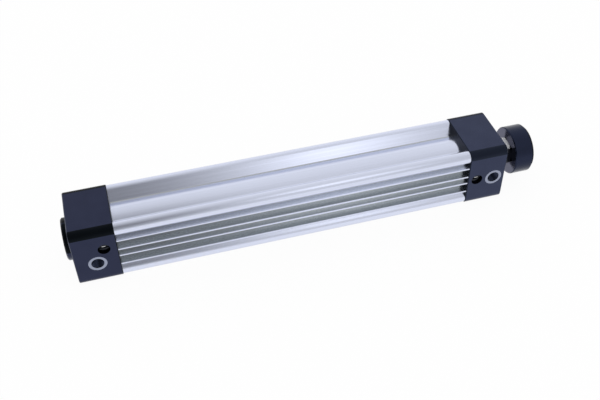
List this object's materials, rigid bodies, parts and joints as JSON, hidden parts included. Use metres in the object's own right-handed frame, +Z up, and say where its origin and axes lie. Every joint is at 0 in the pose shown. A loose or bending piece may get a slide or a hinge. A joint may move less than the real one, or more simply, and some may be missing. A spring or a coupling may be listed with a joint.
{
  "type": "non-rotating pneumatic cylinder",
  "caption": "Double-acting pneumatic cylinder with a ribbed extruded barrel, square end caps, a hexagonal rod that cannot turn and a round rod head.",
  "frame": {"origin": "on the cylinder's axis at the rear cap's outer face, where the centring boss starts", "axes": "+X along the rod towards the rod head, -Y towards the ports and cushion screws, +Z up with the cylinder lying on its flat side"},
  "size_m": [0.346, 0.048, 0.048],
  "materials": {
    "barrel_aluminium": "clear satin anodised extrusion with fine lengthwise die lines",
    "black_anodised": "black satin anodised, machined faces, sharp edges slightly rubbed",
    "rod_chrome": "hard chromed and polished",
    "nut_steel": "bright zinc plated",
    "screw_steel": "zinc plated",
    "dark_steel": "black oxidised and oiled",
    "spring_steel": "phosphated spring steel",
    "guide_bronze": "machined bronze",
    "seal_rubber": "black nitrile rubber",
    "bumper_rubber": "dark polyurethane",
    "piston_aluminium": "turned, plain",
    "magnet_ferrite": "pressed ferrite",
    "guide_acetal": "natural acetal"
  },
  "bodies": {
    "housing": {"barrel": "barrel_aluminium", "rear_cap": "black_anodised", "front_cap": "black_anodised", "rear_cap_screws": "screw_steel", "front_cap_screws": "screw_steel", "rear_barrel_seal": "seal_rubber", "front_barrel_seal": "seal_rubber", "rear_cushion_seal": "seal_rubber", "front_cushion_seal": "seal_rubber", "guide_bush": "guide_bronze", "bush_key": "spring_steel", "rod_seal": "seal_rubber", "seal_clip": "spring_steel", "rod_wiper": "seal_rubber"},
    "rod": {"piston_rod": "rod_chrome", "lock_nut": "nut_steel", "rod_head": "black_anodised", "piston_rear_half": "piston_aluminium", "piston_front_half": "piston_aluminium", "piston_static_seal": "seal_rubber", "rear_piston_seal": "seal_rubber", "front_piston_seal": "seal_rubber", "magnet_ring": "magnet_ferrite", "guide_ring": "guide_acetal", "rear_bumper": "bumper_rubber", "front_bumper": "bumper_rubber", "cushion_sleeve": "screw_steel", "cushion_spear": "screw_steel"},
    "rear_adjuster_lift": {"rear_screw_seal": "seal_rubber"},
    "rear_adjuster": {"rear_cushion_screw": "dark_steel"},
    "front_adjuster_lift": {"front_screw_seal": "seal_rubber"},
    "front_adjuster": {"front_cushion_screw": "dark_steel"}
  },
  "joints": [
    {"name": "rod_slide", "type": "slide", "parent": "housing", "child": "rod", "axis": [1, 0, 0], "range_m": [0, 0.2]},
    {"name": "rear_adjuster_travel", "type": "slide", "parent": "housing", "child": "rear_adjuster_lift", "axis": [0, -1, 0], "range_m": [-0.0005, 0.001]},
    {"name": "rear_adjuster_turn", "type": "hinge", "parent": "rear_adjuster_lift", "child": "rear_adjuster", "pos_m": [0.0214, -0.022, 0.0066], "axis": [0, -1, 0], "range_deg": [-360.5, 720.5]},
    {"name": "front_adjuster_travel", "type": "slide", "parent": "housing", "child": "front_adjuster_lift", "axis": [0, -1, 0], "range_m": [-0.0005, 0.001]},
    {"name": "front_adjuster_turn", "type": "hinge", "parent": "front_adjuster_lift", "child": "front_adjuster", "pos_m": [0.2926, -0.022, -0.0005], "axis": [0, -1, 0], "range_deg": [-360.5, 720.5]}
  ],
  "couplings": [
    {"joint": "rear_adjuster_turn", "follows": "rear_adjuster_travel", "rad_per_m": 12566},
    {"joint": "front_adjuster_turn", "follows": "front_adjuster_travel", "rad_per_m": 12566}
  ]
}
